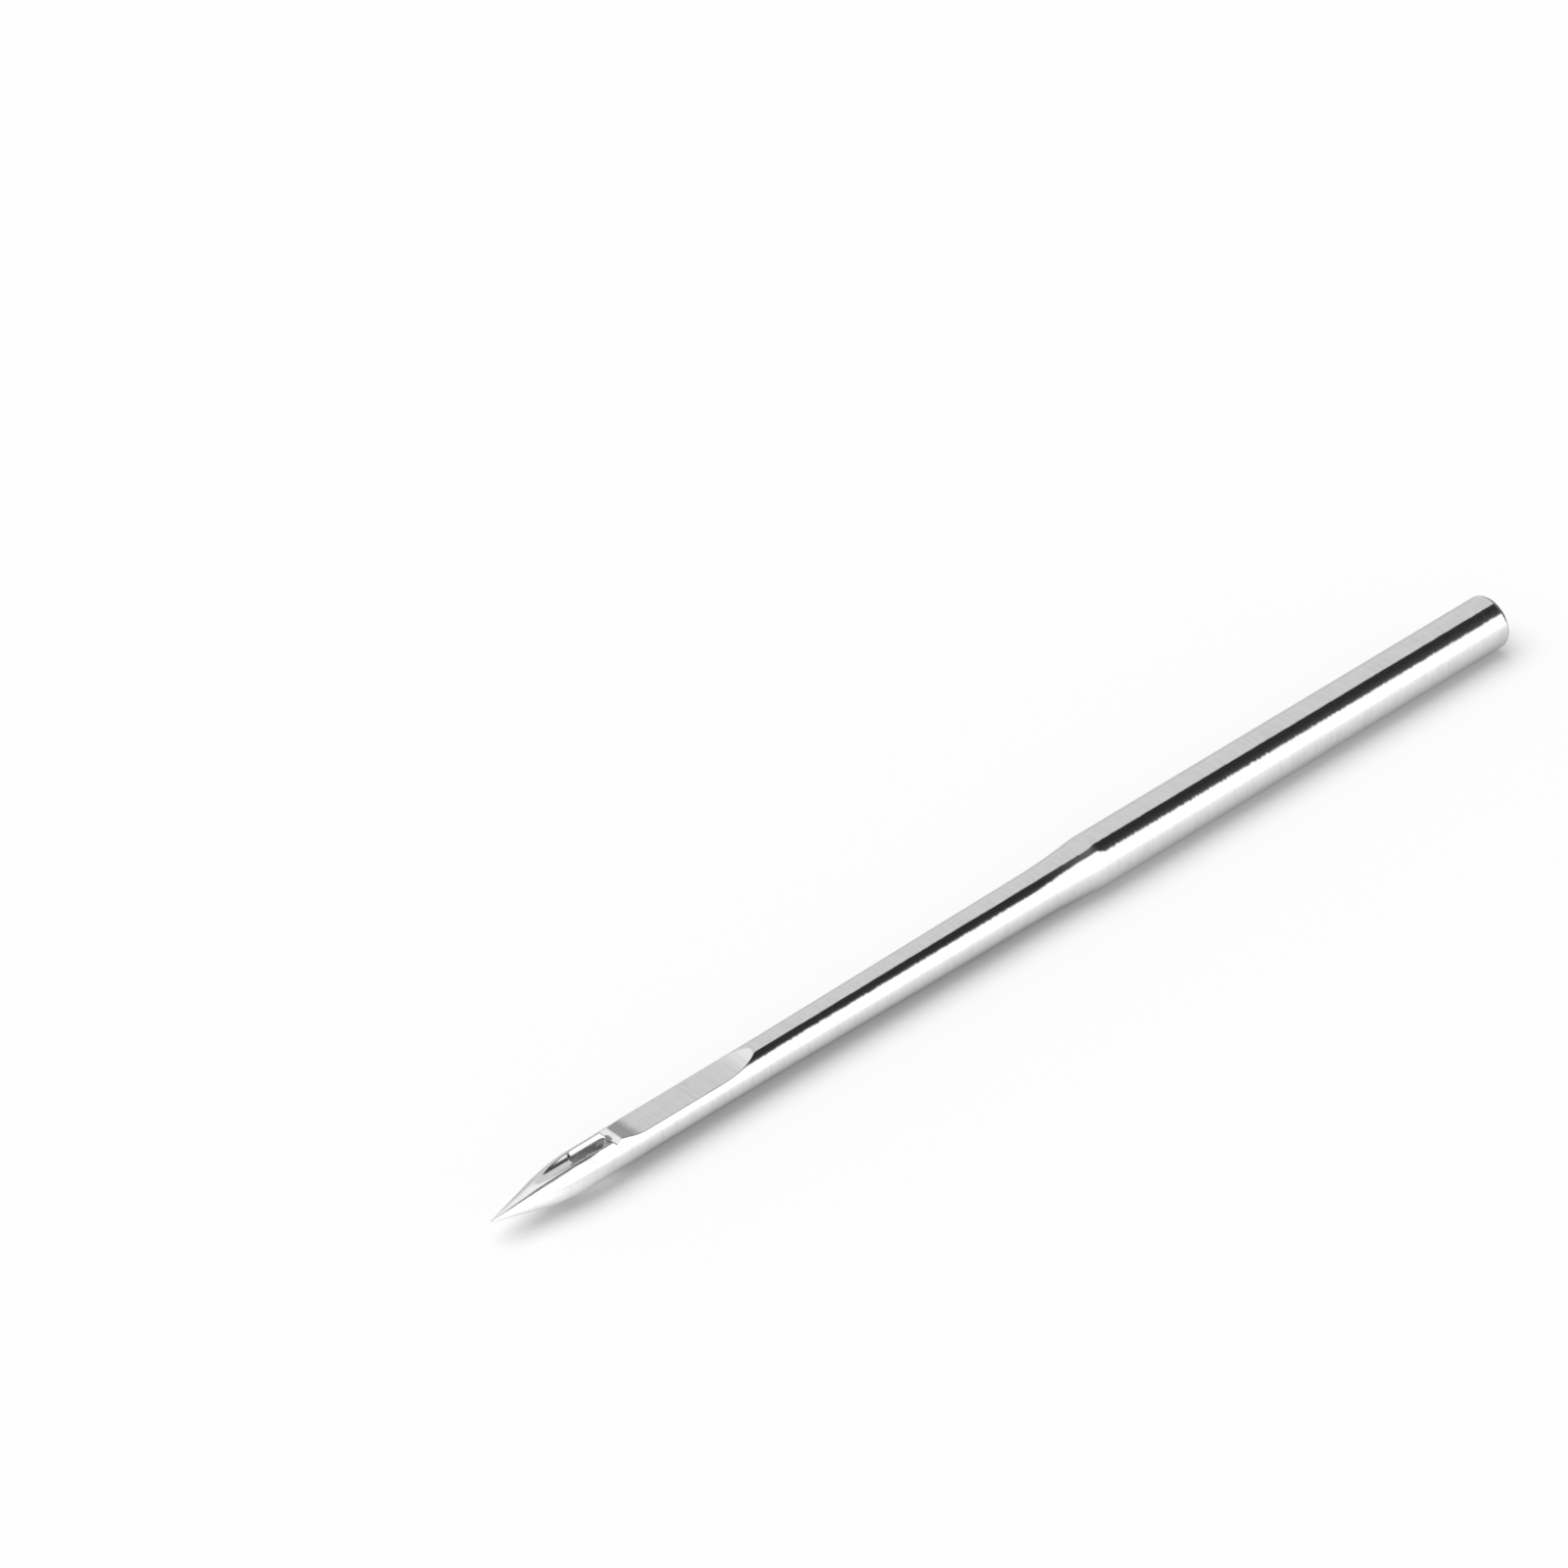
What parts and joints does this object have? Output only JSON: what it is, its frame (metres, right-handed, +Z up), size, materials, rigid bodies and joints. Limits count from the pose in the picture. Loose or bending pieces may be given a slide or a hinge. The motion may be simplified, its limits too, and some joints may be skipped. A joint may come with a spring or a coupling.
{
  "type": "sewing machine needle",
  "caption": "Round-shank sewing machine needle with a straight blade, an eye near its point, a scarf on one side and a long thread groove on the other.",
  "frame": {"origin": "on the surface that the needle lies on, under the middle of its length and of its width", "axes": "+X along the needle's axis from the point to the butt of the shank, +Z up, which is the scarf's side; the long groove faces down"},
  "size_m": [0.0384, 0.0016, 0.0016],
  "materials": {
    "plated_steel": "bright plated steel, polished, with fine grinding marks along the grooves"
  },
  "bodies": {
    "root": {"needle": "plated_steel"}
  },
  "joints": []
}
